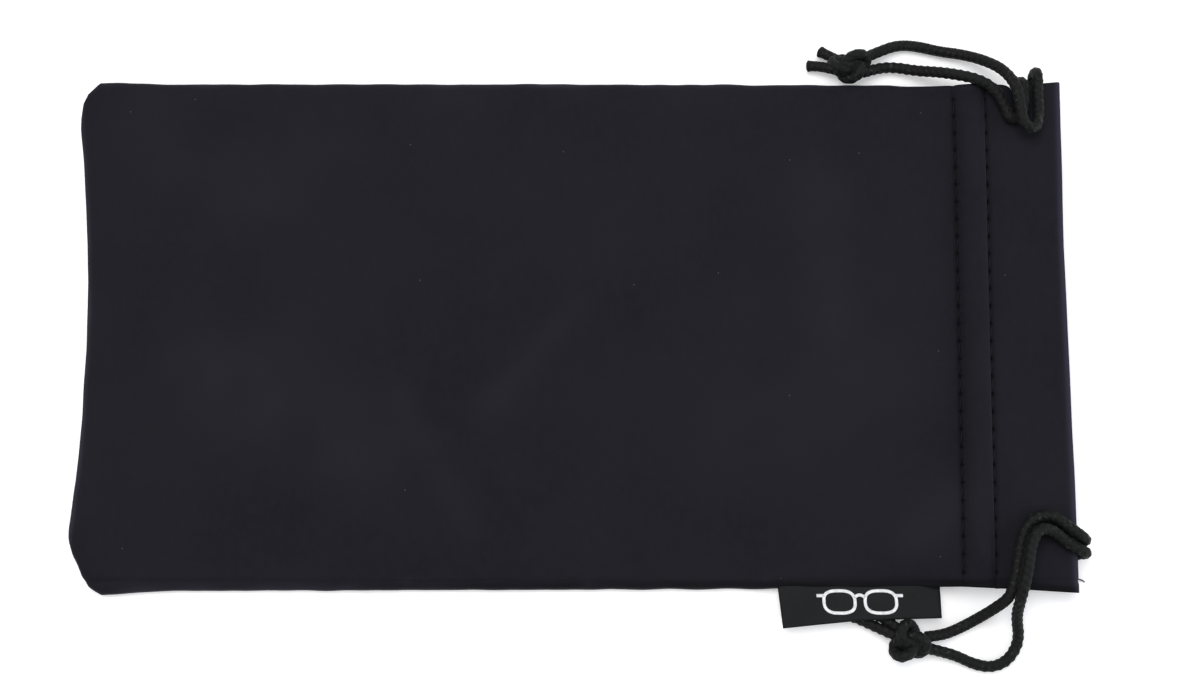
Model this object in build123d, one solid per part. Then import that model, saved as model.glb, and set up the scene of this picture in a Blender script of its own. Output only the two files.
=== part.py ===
"""Soft drawstring pouch for a pair of glasses, lying flat with its mouth towards +X.

Units are millimetres. +X runs from the sewn closed end to the open mouth, +Y across the
pouch and +Z up. The origin is the centre of the flat underside of the back cloth.
Two cloths are sewn along three sides. The mouth has a folded hem with two stitch rows,
and two cords run through the tunnel between the rows, in the front and in the back.
"""

from build123d import *
import math
import os

# Cloth
LENGTH = 176.0
WIDTH = 90.0
CLOTH = 0.6
LOFT = 7.0  # clear height under the front cloth, over the table
MOUTH_X = LENGTH / 2
SIDE_Y = WIDTH / 2
END_FLARE = 0.7  # how much wider each side is at the closed end

# Sewn margins, and the slopes that rise from them
MARGIN_Y = 42.4
END_X = -84.0
SLOPE_TOP_Y = 28.3
END_KNEE_X, END_KNEE_Z = -76.0, 3.4
END_TOP_X = -52.0
SLIT_X = 65.2  # the sides are sewn up to here and open beyond
BODY_FLAT_X = 48.0  # where the front cloth starts down to the mouth

# Hem, with its cord tunnel between two stitch rows
MOUTH_GAP_TOP = 4.8  # underside of the front cloth at the mouth
HEM_X = 66.5
FACING_Y = 33.0
TUNNEL_X = (69.7, 73.9)
TUNNEL_HEIGHT = 2.1
TUNNEL_Y = 40.4
ROW_X = (68.75, 74.85)

# The front cloth's middle lifts, and its border stays sewn down
MIDDLE_Y = 28.0
PART_GAP = 0.3

# Seam allowances turned to the inside
ALLOWANCE_Y = (36.0, 40.6)
ALLOWANCE_X = (-81.0, -76.4)

# Stitches
STITCH_LENGTH, STITCH_WIDTH, STITCH_HEIGHT, STITCH_PITCH = 2.4, 0.45, 0.25, 3.1
OVERLOCK_LENGTH, OVERLOCK_PITCH = 3.4, 3.0

# Label
LABEL_X = (36.2, 64.6)
LABEL_DEPTHS = [(0.0, 8.4), (0.5, 6.9), (1.0, 6.5)]  # place along the width, depth there
LABEL_THICKNESS = 0.4
LABEL_TILT = 12.0
LABEL_HINGE_Y, LABEL_HINGE_Z = -43.3, 1.5
EMBLEM_THICKNESS = 0.12
EMBLEM_PLACE = 3.9

# Cords
CORD = 2.0
CORD_RADIUS = CORD / 2
UPPER_CORD_X = 70.75
LOWER_CORD_X = 72.85
FRONT_RUN_Z = MOUTH_GAP_TOP + CORD_RADIUS + 0.05
BACK_RUN_Z = CLOTH + CORD_RADIUS + 0.05
RUN_END_Y = 38.5
TURN_Y = 36.5
NOTCH_X, NOTCH_WIDTH, NOTCH_DEPTH = 80.3, 3.6, 2.7

NODES = {}


def prism_along_y(points, y_low, y_high):
    """A solid with this X-Z outline, between two Y values."""
    face = Plane.XZ * Polygon(*points, align=None)
    return Pos(0, y_low, 0) * extrude(face, y_high - y_low, dir=(0, 1, 0))


def prism_along_x(points, x_low, x_high):
    """A solid with this Y-Z outline, between two X values."""
    face = Plane.YZ * Polygon(*points, align=None)
    return Pos(x_low, 0, 0) * extrude(face, x_high - x_low, dir=(1, 0, 0))


def block(x, y, z):
    """A box between two values on each axis."""
    size = (x[1] - x[0], y[1] - y[0], z[1] - z[0])
    return Pos(x[0], y[0], z[0]) * Box(*size, align=(Align.MIN, Align.MIN, Align.MIN))


def outline():
    """The pouch's flat outline: straight mouth, a little wider closed end, rounded corners."""
    wide_y = SIDE_Y + END_FLARE
    upper_corner = [(-80.5, wide_y), (-86.2, 43.9), (-88.0, 37.6)]
    lower_corner = [(-88.0, -34.6), (-85.9, -42.3), (-79.5, -wide_y)]
    edges = [
        Line((MOUTH_X, -SIDE_Y), (MOUTH_X, SIDE_Y)),
        ThreePointArc((MOUTH_X, SIDE_Y), (0, SIDE_Y), upper_corner[0]),
        ThreePointArc(*upper_corner),
        ThreePointArc(upper_corner[-1], (-86.2, 6.0), lower_corner[0]),
        ThreePointArc(*lower_corner),
        ThreePointArc(lower_corner[-1], (0, -SIDE_Y), (MOUTH_X, -SIDE_Y)),
    ]
    return make_face(edges)


def tunnel(base_z, y_low, y_high):
    """The cloth that stands up over the two cords, above base_z."""
    top = base_z + TUNNEL_HEIGHT
    outer = block((TUNNEL_X[0] - CLOTH, TUNNEL_X[1] + CLOTH), (y_low, y_high), (base_z, top + CLOTH))
    inner = block(TUNNEL_X, (y_low - 1, y_high + 1), (base_z, top))
    return outer - inner


def back_cloth():
    """Bottom cloth, with the hem folded in over the tunnel and the allowances turned in."""
    cloth = extrude(outline(), CLOTH)
    second = (CLOTH, 2 * CLOTH)
    facing = block((HEM_X, MOUTH_X), (-FACING_Y, FACING_Y), second)
    facing -= block(TUNNEL_X, (-SIDE_Y, SIDE_Y), second)
    side_widths = [sorted((side * ALLOWANCE_Y[0], side * ALLOWANCE_Y[1])) for side in (-1, 1)]
    sides = [block((ALLOWANCE_X[0], SLIT_X - 2), width, second) for width in side_widths]
    end = block(ALLOWANCE_X, (-ALLOWANCE_Y[1], ALLOWANCE_Y[1]), second)
    return cloth + facing + tunnel(CLOTH, -FACING_Y, FACING_Y) + sides + end


def roof(lift):
    """Everything under the front cloth's rising part, from the margin's level up."""
    low = CLOTH
    top = LOFT + lift
    across = [(-MARGIN_Y, low), (-MARGIN_Y, low + lift), (-SLOPE_TOP_Y, top)]
    across += [(-y, z) for y, z in reversed(across)]
    along = [
        (END_X, low),
        (END_X, low + lift),
        (END_KNEE_X, END_KNEE_Z + lift),
        (END_TOP_X, top),
        (BODY_FLAT_X, top),
        (SLIT_X, MOUTH_GAP_TOP + lift),
        (SLIT_X, low),
    ]
    if lift == 0:
        across = across[1:-1]
        along = along[1:]
    return prism_along_x(across, -LENGTH, LENGTH) & prism_along_y(along, -WIDTH, WIDTH)


def front_cloth():
    """Top cloth as one sheet: margin, rising body, and the mouth with its hem and tunnel."""
    rising = roof(CLOTH) - roof(0)
    inside = block((END_X, LENGTH), (-MARGIN_Y, MARGIN_Y), (0, LOFT))
    beyond_slit = block((SLIT_X - 2, LENGTH), (-WIDTH, WIDTH), (0, LOFT))
    margin = Pos(0, 0, CLOTH) * extrude(outline(), CLOTH) - inside - beyond_slit
    z = MOUTH_GAP_TOP
    mouth = block((SLIT_X, MOUTH_X), (-SIDE_Y, SIDE_Y), (z, z + CLOTH))
    mouth -= block(TUNNEL_X, (-TUNNEL_Y, TUNNEL_Y), (z, z + CLOTH))
    facing = block((HEM_X, MOUTH_X), (-FACING_Y, FACING_Y), (z - CLOTH, z))
    across = (TUNNEL_X[0] - CLOTH, TUNNEL_X[1] + CLOTH)
    cap_ends = [sorted((side * TUNNEL_Y, side * (TUNNEL_Y + CLOTH))) for side in (-1, 1)]
    end_caps = [block(across, ends, (z, z + TUNNEL_HEIGHT + CLOTH)) for ends in cap_ends]
    return rising + margin + mouth + facing + tunnel(z, -TUNNEL_Y, TUNNEL_Y) + end_caps


def cord_notch():
    """Where the upper cord's second strand pulls the edge of the front cloth in."""
    half = NOTCH_WIDTH / 2
    return block(
        (NOTCH_X - half, NOTCH_X + half),
        (SIDE_Y - NOTCH_DEPTH, SIDE_Y + 1),
        (MOUTH_GAP_TOP - 1, MOUTH_GAP_TOP + 1),
    )


def stitch_row(x, y_low, y_high, z):
    """Lockstitches in a line along Y, whole ones only, on a grid centred on the pouch."""
    count = int(SIDE_Y / STITCH_PITCH)
    half = STITCH_LENGTH / 2
    places = [i * STITCH_PITCH for i in range(-count, count + 1)]
    places = [y for y in places if y_low + half <= y <= y_high - half]
    across = (x - STITCH_WIDTH / 2, x + STITCH_WIDTH / 2)
    return [block(across, (y - half, y + half), (z, z + STITCH_HEIGHT)) for y in places]


def hem_stitches(y_low, y_high, z):
    """Both stitch rows of the hem, between two Y values."""
    return Compound(children=[s for x in ROW_X for s in stitch_row(x, y_low, y_high, z)])


def side_overlock(side):
    """Overlock stitches across a side's seam allowance, up to the slit."""
    reach = SLIT_X - 4 - ALLOWANCE_X[1]
    count = int(reach / OVERLOCK_PITCH)
    middle = side * sum(ALLOWANCE_Y) / 2
    half = OVERLOCK_LENGTH / 2
    z = (2 * CLOTH, 2 * CLOTH + STITCH_HEIGHT)
    bars = []
    for i in range(1, count):
        x = ALLOWANCE_X[1] + i * OVERLOCK_PITCH
        bars.append(block((x, x + STITCH_WIDTH), (middle - half, middle + half), z))
    return Compound(children=bars)


def end_overlock():
    """Overlock stitches across the closed end's seam allowance."""
    count = int((ALLOWANCE_Y[0] - 2) / OVERLOCK_PITCH)
    middle = sum(ALLOWANCE_X) / 2
    half = OVERLOCK_LENGTH / 2
    z = (2 * CLOTH, 2 * CLOTH + STITCH_HEIGHT)
    bars = []
    for i in range(-count, count + 1):
        y = i * OVERLOCK_PITCH
        bars.append(block((middle - half, middle + half), (y, y + STITCH_WIDTH), z))
    return Compound(children=bars)


def label_frame():
    """The label's own plane: x along the seam, y out towards the free edge, z off its face."""
    tilt = math.radians(LABEL_TILT)
    return Plane(
        origin=((LABEL_X[0] + LABEL_X[1]) / 2, LABEL_HINGE_Y, LABEL_HINGE_Z),
        x_dir=(-1, 0, 0),
        z_dir=(0, math.sin(tilt), math.cos(tilt)),
    )


def woven_label():
    """Folded woven tape, caught in the seam by one long edge and cut a little slanted."""
    width = LABEL_X[1] - LABEL_X[0]
    free_edge = [((0.5 - place) * width, depth) for place, depth in LABEL_DEPTHS]
    corners = [(width / 2, 0), *free_edge, (-width / 2, 0)]
    tape = extrude(Polygon(*corners, align=None), LABEL_THICKNESS / 2, both=True)
    return label_frame() * tape


def label_emblem():
    """A plain spectacles sign printed on the label: two lens rims, a bridge and two hinges."""
    rim_radius, rim_line, spacing = 2.0, 0.55, 5.6
    bridge_length = spacing - 2 * rim_radius + rim_line
    sketch = Rectangle(bridge_length, rim_line)
    for side in (-1, 1):
        sketch += Pos(side * spacing / 2, 0) * (Circle(rim_radius) - Circle(rim_radius - rim_line))
        sketch += Pos(side * (spacing / 2 + rim_radius + 0.5), 0.6) * Rectangle(1.4, rim_line)
    printed = extrude(sketch, EMBLEM_THICKNESS)
    return label_frame() * (Pos(0, EMBLEM_PLACE, LABEL_THICKNESS / 2) * printed)


def corner_radii(points):
    """Each corner's arc: 0.45 of the shorter run over the tangent of half the turn."""
    radii = []
    for before, corner, after in zip(points, points[1:], points[2:]):
        first = Vector(*corner) - Vector(*before)
        second = Vector(*after) - Vector(*corner)
        half_turn = math.radians(first.get_angle(second)) / 2
        radii.append(0.45 * min(first.length, second.length) / math.tan(half_turn))
    return radii


def cord_tube(name, points):
    """A round cord along straight runs joined by tangent arcs, with its facts printed."""
    radii = corner_radii(points)
    path = FilletPolyline(*points, radius=radii) if radii else Line(*points)
    section = Plane(origin=path @ 0, z_dir=path % 0) * Circle(CORD_RADIUS)
    tube = sweep(section, path=path)
    expected = math.pi * CORD_RADIUS**2 * path.length
    smallest = f"{min(radii):.1f}" if radii else "none"
    print(f"{name}: length {path.length:.1f}, smallest radius {smallest}, "
          f"volume {tube.volume:.1f} against {expected:.1f}")
    return tube


def channel_cord(name, x, side):
    """A cord that leaves on one side: its front run, and its way back through the hem.

    The return goes along the front tunnel's far part, turns round inside the far slit and
    comes back through the whole of the back tunnel.
    """
    NODES[f"{name}_cord_front_run"] = cord_tube(
        f"{name}_cord_front_run", [(x, side * MIDDLE_Y, FRONT_RUN_Z), (x, -side * MIDDLE_Y, FRONT_RUN_Z)]
    )
    start_y = MIDDLE_Y + PART_GAP
    NODES[f"{name}_cord_front_end"] = cord_tube(
        f"{name}_cord_front_end", [(x, side * start_y, FRONT_RUN_Z), (x, side * RUN_END_Y, FRONT_RUN_Z)]
    )
    NODES[f"{name}_cord_return"] = cord_tube(
        f"{name}_cord_return",
        [
            (x, -side * start_y, FRONT_RUN_Z),
            (x, -side * TURN_Y, FRONT_RUN_Z),
            (x, -side * TURN_Y, BACK_RUN_Z),
            (x, side * RUN_END_Y, BACK_RUN_Z),
        ],
    )


# Upper side (+Y). Each strand starts inside the slit, turns up over the edge of the front
# cloth, bends back on the front face and leaves over the same edge to the knot.
UPPER_FRONT_STRAND = [
    (70.9, 38.7, 3.75),
    (72.6, 41.4, 3.75),
    (76.4, 42.2, 3.75),
    (79.8, 41.4, 3.75),
    (82.8, 42.6, 3.5),
    (82.9, 46.6, 2.75),
    (82.9, 46.6, 6.75),
    (82.9, 42.6, 6.6),
    (82.9, 38.6, 6.9),
    (82.0, 35.6, 8.2),
    (79.6, 36.2, 9.0),
    (79.2, 40.2, 8.9),
    (78.7, 43.8, 8.2),
    (76.8, 47.2, 6.0),
    (73.8, 49.6, 3.2),
    (70.4, 51.0, 1.5),
    (66.6, 51.6, 1.1),
    (62.6, 52.6, 1.05),
    (59.2, 52.8, 1.1),
    (56.0, 51.6, 1.6),
    (52.8, 50.0, 2.5),
]
UPPER_BACK_STRAND = [
    (70.75, 38.8, 1.65),
    (71.0, 41.8, 1.65),
    (74.6, 42.4, 1.65),
    (77.4, 41.3, 1.65),
    (80.2, 41.5, 1.65),
    (80.3, 45.0, 2.25),
    (80.3, 45.0, 6.45),
    (80.5, 41.2, 6.45),
    (80.3, 38.4, 6.45),
    (77.8, 37.7, 6.45),
    (76.9, 40.6, 6.5),
    (75.3, 43.3, 6.6),
    (72.4, 45.0, 6.8),
    (68.8, 46.0, 6.2),
    (65.6, 47.0, 4.2),
    (62.2, 47.8, 2.0),
    (58.4, 48.7, 1.15),
    (55.2, 48.4, 1.5),
    (52.6, 47.3, 2.4),
]
UPPER_KNOT = (50.2, 48.5, 2.75)

# Lower side (-Y). Both strands turn up over the mouth rim, arch over the front face and
# leave over the side edge: one runs to the knot and the other makes a drop-shaped loop.
LOWER_FRONT_STRAND = [
    (73.0, -38.8, 3.7),
    (75.4, -41.0, 3.5),
    (79.2, -40.2, 3.0),
    (82.4, -38.0, 2.75),
    (85.6, -36.7, 2.75),
    (89.4, -36.5, 2.75),
    (89.4, -36.3, 6.6),
    (86.2, -34.0, 6.5),
    (83.4, -31.9, 6.5),
    (80.2, -32.3, 6.5),
    (78.2, -35.2, 6.45),
    (77.6, -38.8, 6.45),
    (76.9, -42.2, 6.45),
    (76.0, -46.0, 6.4),
    (73.6, -48.2, 3.4),
    (70.6, -50.2, 1.5),
    (67.6, -51.8, 1.05),
    (64.8, -52.8, 1.3),
    (62.0, -53.0, 2.4),
]
LOWER_BACK_STRAND = [
    (72.85, -38.8, 1.65),
    (73.2, -41.9, 1.65),
    (77.0, -42.9, 1.65),
    (81.4, -41.6, 1.9),
    (85.0, -39.2, 2.5),
    (89.4, -38.7, 2.75),
    (89.4, -38.5, 6.6),
    (86.2, -37.0, 6.55),
    (83.4, -34.6, 7.2),
    (80.6, -34.2, 8.4),
    (79.2, -37.0, 8.5),
    (78.7, -40.6, 8.5),
    (77.9, -44.0, 8.45),
    (77.3, -46.6, 7.5),
    (77.3, -49.4, 4.0),
    (78.4, -53.6, 1.3),
    (76.6, -57.0, 1.05),
    (73.6, -58.4, 1.05),
    (70.4, -57.8, 1.05),
    (67.5, -56.4, 1.1),
    (64.8, -55.6, 1.7),
    (62.2, -55.0, 2.5),
]
LOWER_KNOT = (58.9, -53.9, 2.75)

UPPER_TAILS = [
    [(48.2, 49.6, 2.3), (46.7, 50.6, 1.7), (45.0, 51.6, 1.15)],
    [(47.6, 47.9, 2.3), (45.0, 48.9, 1.5), (42.8, 48.9, 1.1)],
]
LOWER_TAILS = [
    [(56.5, -52.8, 2.2), (52.9, -51.1, 1.15), (49.6, -49.6, 1.02)],
    [(57.0, -51.5, 1.9), (54.7, -49.6, 1.05), (51.6, -48.4, 1.02)],
]


def knot(centre, offsets):
    """The outer shape of a tightened overhand knot: balls of cord grown into each other."""
    return sum((Pos(*centre) * Pos(x, y, z) * Sphere(r) for x, y, z, r in offsets), Part())


def tails(name, routes):
    """The two short cut ends beyond a knot."""
    return Compound(children=[cord_tube(f"{name}_tail", route) for route in routes])


def loose_thread():
    """A sewing thread's cut end at the mouth corner of the back cloth."""
    return block((MOUTH_X, MOUTH_X + 1.3), (-43.35, -43.15), (0.2, 0.4))


def build():
    """Fill NODES with every sub-part."""
    whole_front = front_cloth()
    middle = block((END_X + PART_GAP, LENGTH), (-MIDDLE_Y, MIDDLE_Y), (0, 3 * LOFT))
    cut_y = MIDDLE_Y + PART_GAP
    around_middle = block((END_X, LENGTH), (-cut_y, cut_y), (0, 3 * LOFT))
    NODES["back_panel"] = back_cloth()
    NODES["front_panel"] = whole_front & middle
    NODES["front_panel_border"] = whole_front - around_middle - cord_notch()

    front_z = MOUTH_GAP_TOP + CLOTH
    clear_of_cords = FACING_Y + 1.5
    NODES["front_hem_stitches"] = hem_stitches(-MIDDLE_Y, MIDDLE_Y, front_z)
    NODES["front_hem_stitches_upper"] = hem_stitches(cut_y, clear_of_cords, front_z)
    NODES["front_hem_stitches_lower"] = hem_stitches(-SIDE_Y, -cut_y, front_z)
    NODES["back_hem_stitches"] = hem_stitches(-FACING_Y, FACING_Y, 2 * CLOTH)
    NODES["side_seam_thread_upper"] = side_overlock(1)
    NODES["side_seam_thread_lower"] = side_overlock(-1)
    NODES["end_seam_thread"] = end_overlock()
    NODES["loose_thread_end"] = loose_thread()

    NODES["woven_label"] = woven_label()
    NODES["label_emblem"] = label_emblem()

    channel_cord("upper", UPPER_CORD_X, 1)
    channel_cord("lower", LOWER_CORD_X, -1)
    NODES["upper_front_strand"] = cord_tube("upper_front_strand", UPPER_FRONT_STRAND)
    NODES["upper_back_strand"] = cord_tube("upper_back_strand", UPPER_BACK_STRAND)
    NODES["lower_front_strand"] = cord_tube("lower_front_strand", LOWER_FRONT_STRAND)
    NODES["lower_back_strand"] = cord_tube("lower_back_strand", LOWER_BACK_STRAND)
    NODES["upper_knot"] = knot(
        UPPER_KNOT, [(-1.2, 0.6, 0, 2.4), (1.3, 0.1, 0, 2.5), (0.6, -1.3, -0.7, 1.7), (-1.4, -1.0, -0.7, 1.7)]
    )
    NODES["lower_knot"] = knot(
        LOWER_KNOT, [(-1.0, 0.9, 0, 2.7), (1.1, -0.2, 0, 2.7), (0.6, -2.0, -0.8, 1.8), (-1.2, -1.6, -0.8, 1.8)]
    )
    NODES["upper_tails"] = tails("upper", UPPER_TAILS)
    NODES["lower_tails"] = tails("lower", LOWER_TAILS)


build()
os.makedirs("parts", exist_ok=True)
for node_name, shape in NODES.items():
    export_step(shape, f"parts/{node_name}.step")
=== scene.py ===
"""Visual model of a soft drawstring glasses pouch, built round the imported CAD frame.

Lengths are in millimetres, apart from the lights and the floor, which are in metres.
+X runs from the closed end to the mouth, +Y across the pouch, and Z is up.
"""

import math

import bpy
import numpy as np
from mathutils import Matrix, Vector, noise


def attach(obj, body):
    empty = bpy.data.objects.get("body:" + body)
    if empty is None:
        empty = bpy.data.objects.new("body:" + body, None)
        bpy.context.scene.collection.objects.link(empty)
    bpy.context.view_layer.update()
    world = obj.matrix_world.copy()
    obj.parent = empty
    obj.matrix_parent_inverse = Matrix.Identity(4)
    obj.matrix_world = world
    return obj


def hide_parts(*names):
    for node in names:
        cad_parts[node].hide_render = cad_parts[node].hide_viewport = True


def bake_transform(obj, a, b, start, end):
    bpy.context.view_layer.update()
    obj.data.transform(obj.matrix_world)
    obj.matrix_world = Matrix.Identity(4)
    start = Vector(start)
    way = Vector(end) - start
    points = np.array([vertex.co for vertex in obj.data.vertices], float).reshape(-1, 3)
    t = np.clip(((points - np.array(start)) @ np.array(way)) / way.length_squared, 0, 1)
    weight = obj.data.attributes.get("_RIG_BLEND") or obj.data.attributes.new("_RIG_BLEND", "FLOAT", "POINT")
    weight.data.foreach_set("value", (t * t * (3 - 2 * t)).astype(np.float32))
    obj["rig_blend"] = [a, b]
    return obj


MM = 0.001

# Cloth outline and thickness
END_X = -88.0
SIDE_Y = 45.0
UPPER_EDGE = [  # x, and how far the edge is from the middle line: a small clipped corner, then straight
    (-88.0, 36.5),
    (-87.9, 39.0),
    (-87.5, 42.0),
    (-86.7, 43.7),
    (-84.9, 45.5),
    (-81.0, 45.5),
    (-75.0, 45.3),
    (0.0, 45.3),
    (55.0, 45.1),
    (68.0, 44.4),
    (82.0, 44.4),
    (88.0, 44.9),
]
LOWER_EDGE = [
    (-88.0, 34.0),
    (-87.6, 36.8),
    (-86.9, 39.1),
    (-85.9, 40.9),
    (-85.1, 42.8),
    (-83.9, 44.4),
    (-81.9, 45.6),
    (-79.5, 45.5),
    (-72.0, 44.9),
    (20.0, 44.6),
    (68.0, 44.3),
    (80.0, 44.9),
    (88.0, 45.4),
]
# y, and how far the mouth's fold falls short of the last grid line there
MOUTH_LINE = [(-45.0, 0.1), (-25.0, 0.3), (-5.0, 0.7), (15.0, 1.05), (45.0, 0.95)]
MOUTH_FOLD_X = 87.6
END_HOLLOW = 2.3  # how far the closed end curves in
SEWN_END_X = 58.0  # the side seams let go of the cloths just before the hem
CLOTH = 0.56

# Heights of the middle of each cloth's thickness
EDGE_HEIGHT = 1.9
LOFT_RISE = 4.9
MOUTH_HEIGHT = 5.1
BACK_HEIGHT = 0.3
LOWER_GROOVE = (-43.3, 0.35, 0.5)  # y, half width and depth of the line where the lower seam's roll starts

CREASES = [  # start, end, half width, height: soft folds that the cloth has kept
    ((-62, -8), (-36, -22), 9.0, 0.45),
    ((-29, -12), (-18, -34), 3.0, 0.30),
    ((1, 4), (-14, -13), 2.7, 0.28),
    ((44, 24), (46, -4), 5.5, 0.35),
    ((50, -10), (32, -18), 9.0, 0.28),
    ((60, -36), (67, -30), 4.5, 0.40),
    ((-70, 30), (-48, 20), 8.0, 0.25),
]
SEAM_PUCKER_HIGHLIGHTS = [(-28.5, -43.4), (3.0, -43.6), (34.2, -43.2)]  # where pale spots of painted highlight sit on the lower seam's small puckers

# Hem
ROWS = (68.3, 73.8)
HEM_X = 66.5  # where the turned-in layer ends
PUFF = 2.05
ROW_LEDGE = 0.45  # flat cloth beside each row, before the tunnel swells
STITCH_PITCH = 3.1
FACING_DROP = 0.62
FACING_NARROWING = 0.2

# Cords
CORD_RADIUS = 1.0
RING_STEP = 0.17
RING_SEGMENTS = 32
BRAID_STRANDS = 4  # in each of the two directions
BRAID_PITCH = 5.0

# The cords' hidden runs: each one's x, and the side where it turns back
TUNNEL_RUNS = ((70.2, -1), (72.15, 1))
TUNNEL_CORD_RADIUS = 0.9
FRONT_RUN_Z = 5.74
BACK_RUN_Z = 1.65

# Where the front cloth's middle starts and stops following the lifting body
BLEND_INNER_Y = 9.0
BLEND_OUTER_Y = 30.5

# Upper side (+Y)
UPPER_FRONT_STRAND = [
    (70.9, 38.7, 3.75),
    (72.6, 41.4, 3.75),
    (76.4, 42.2, 3.75),
    (79.8, 41.4, 3.75),
    (82.8, 42.6, 3.5),
    (82.9, 46.6, 2.75),
    (82.9, 46.6, 6.75),
    (82.9, 42.6, 6.6),
    (82.9, 38.6, 6.9),
    (82.0, 35.6, 8.2),
    (79.6, 36.2, 9.0),
    (79.2, 40.2, 8.9),
    (78.7, 43.8, 8.2),
    (76.8, 47.2, 6.0),
    (73.8, 49.6, 3.2),
    (70.4, 51.0, 1.5),
    (66.6, 51.6, 1.1),
    (62.6, 52.6, 1.05),
    (59.2, 52.8, 1.1),
    (56.0, 51.6, 1.6),
    (52.8, 50.0, 2.5),
]
UPPER_BACK_STRAND = [
    (70.75, 38.8, 1.65),
    (71.0, 41.8, 1.65),
    (74.6, 42.4, 1.65),
    (77.4, 41.3, 1.65),
    (80.2, 41.5, 1.65),
    (80.3, 45.0, 2.25),
    (80.3, 45.0, 6.45),
    (80.5, 41.2, 6.45),
    (80.3, 38.4, 6.45),
    (77.8, 37.7, 6.45),
    (76.9, 40.6, 6.5),
    (75.3, 43.3, 6.6),
    (72.4, 45.0, 6.8),
    (68.8, 46.0, 6.2),
    (65.6, 47.0, 4.2),
    (62.2, 47.8, 2.0),
    (58.4, 48.7, 1.15),
    (55.2, 48.4, 1.5),
    (52.6, 47.3, 2.4),
]
UPPER_TAILS = [
    [(48.2, 49.6, 2.3), (46.7, 50.6, 1.7), (45.0, 51.6, 1.15)],
    [(47.6, 47.9, 2.3), (45.0, 48.9, 1.5), (42.8, 48.9, 1.1)],
]
UPPER_KNOT = (50.2, 48.5, 2.75)

# Lower side (-Y)
LOWER_FRONT_STRAND = [
    (73.0, -38.8, 3.7),
    (75.4, -41.0, 3.5),
    (79.2, -40.2, 3.0),
    (82.4, -38.0, 2.75),
    (85.6, -36.7, 2.75),
    (89.4, -36.5, 2.75),
    (89.4, -36.3, 6.6),
    (86.2, -34.0, 6.5),
    (83.4, -31.9, 6.5),
    (80.2, -32.3, 6.5),
    (78.2, -35.2, 6.45),
    (77.6, -38.8, 6.45),
    (76.9, -42.2, 6.45),
    (76.0, -46.0, 6.4),
    (73.6, -48.2, 3.4),
    (70.6, -50.2, 1.5),
    (67.6, -51.8, 1.05),
    (64.8, -52.8, 1.3),
    (62.0, -53.0, 2.4),
]
LOWER_BACK_STRAND = [
    (72.85, -38.8, 1.65),
    (73.2, -41.9, 1.65),
    (77.0, -42.9, 1.65),
    (81.4, -41.6, 1.9),
    (85.0, -39.2, 2.5),
    (89.4, -38.7, 2.75),
    (89.4, -38.5, 6.6),
    (86.2, -37.0, 6.55),
    (83.4, -34.6, 7.2),
    (80.6, -34.2, 8.4),
    (79.2, -37.0, 8.5),
    (78.7, -40.6, 8.5),
    (77.9, -44.0, 8.45),
    (77.3, -46.6, 7.5),
    (77.3, -49.4, 4.0),
    (78.4, -53.6, 1.3),
    (76.6, -57.0, 1.05),
    (73.6, -58.4, 1.05),
    (70.4, -57.8, 1.05),
    (67.5, -56.4, 1.1),
    (64.8, -55.6, 1.7),
    (62.2, -55.0, 2.5),
]
LOWER_TAILS = [
    [(56.5, -52.8, 2.2), (52.9, -51.1, 1.15), (49.6, -49.6, 1.02)],
    [(57.0, -51.5, 1.9), (54.7, -49.6, 1.05), (51.6, -48.4, 1.02)],
]
LOWER_KNOT = (58.9, -53.9, 2.75)

# Label
LABEL_X = (36.2, 64.6)
LABEL_Y = -43.3
LABEL_Z = 1.55
LABEL_TILT = math.tan(math.radians(12))
LABEL_LEAN = 0.09  # how far its closed-end side slants, for each millimetre out
LABEL_LAYER = 0.17
EMBLEM_MIDDLE = (14.2, 3.75)  # along the label, and out from its seam
EMBLEM_LINE = 0.55


# ---------------------------------------------------------------- camera, light and floor


def make_camera():
    """Nearly straight down, a little from the label's side."""
    target = Vector((4.9, -2.5, 0.0)) * MM
    elevation = math.radians(83.7)
    distance = 318 * MM
    data = bpy.data.cameras.new("camera")
    data.lens = 53.7
    data.sensor_width = 36
    data.clip_start = 0.01
    camera = bpy.data.objects.new("camera", data)
    bpy.context.scene.collection.objects.link(camera)
    back = Vector((0, -math.cos(elevation), math.sin(elevation)))
    camera.location = target + back * distance
    camera.rotation_euler = (math.pi / 2 - elevation, 0, 0)
    bpy.context.scene.camera = camera


def area_light(name, place, size, power, colour=(1, 1, 1)):
    """A soft square lamp that faces the pouch."""
    data = bpy.data.lights.new(name, "AREA")
    data.size = size
    data.energy = power
    data.color = colour
    lamp = bpy.data.objects.new(name, data)
    lamp.location = place
    lamp.rotation_euler = (-Vector(place)).to_track_quat("-Z", "Y").to_euler()
    bpy.context.scene.collection.objects.link(lamp)


def make_lights():
    """A soft overhead box, a cool one beyond the mouth and a weak one from the closed end."""
    area_light("overhead", (-0.15, 0.3, 0.9), 0.6, 5.5)
    area_light("mouth_side", (0.8, -0.1, 0.35), 0.5, 3.0, (0.86, 0.88, 1.0))
    area_light("closed_side", (-0.8, -0.3, 0.5), 0.5, 1.2)
    world = bpy.data.worlds.new("studio")
    world.use_nodes = True
    world.node_tree.nodes["Background"].inputs["Color"].default_value = (1, 1, 1, 1)
    world.node_tree.nodes["Background"].inputs["Strength"].default_value = 0.5
    bpy.context.scene.world = world
    bpy.context.scene.view_settings.view_transform = "Standard"


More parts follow.
